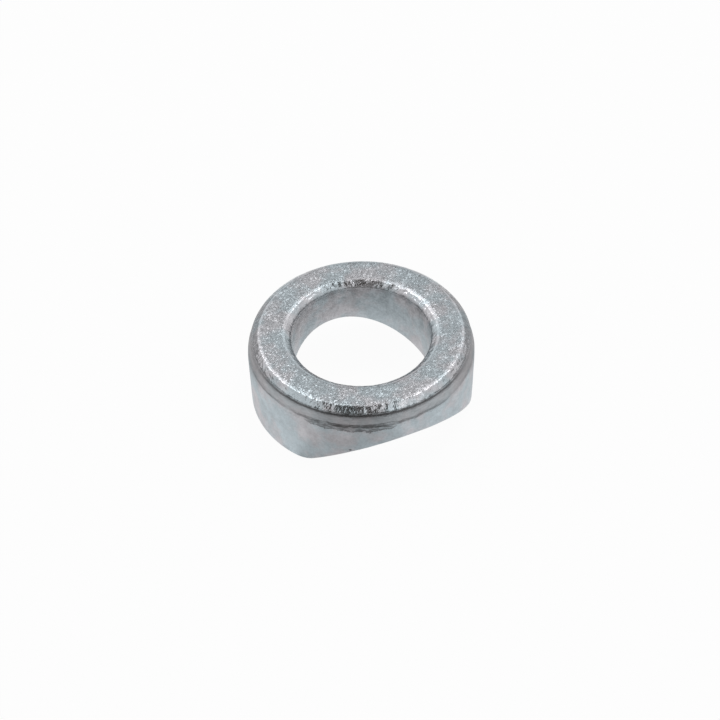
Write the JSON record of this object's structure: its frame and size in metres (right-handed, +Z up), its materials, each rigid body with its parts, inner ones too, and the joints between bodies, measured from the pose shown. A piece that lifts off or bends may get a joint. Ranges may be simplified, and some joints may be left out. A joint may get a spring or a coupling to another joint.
{
  "type": "handlebar saddle washer",
  "caption": "Thick round steel washer with a flat bevelled top and an arched underside that seats it on a round handlebar tube.",
  "frame": {"origin": "on the bore axis, in the plane that the two feet stand on", "axes": "+Z up the bore axis towards the flat top, Y along the axis of the handlebar tube, X across it through the two feet"},
  "size_m": [0.02, 0.02, 0.0074],
  "materials": {
    "zinc_plated_steel": "bright zinc plating over a cold-forged surface: a fine sparkling grain on the flat top, burnished bevels and a matte, slightly mottled wall"
  },
  "bodies": {
    "root": {"washer": "zinc_plated_steel"}
  },
  "joints": []
}
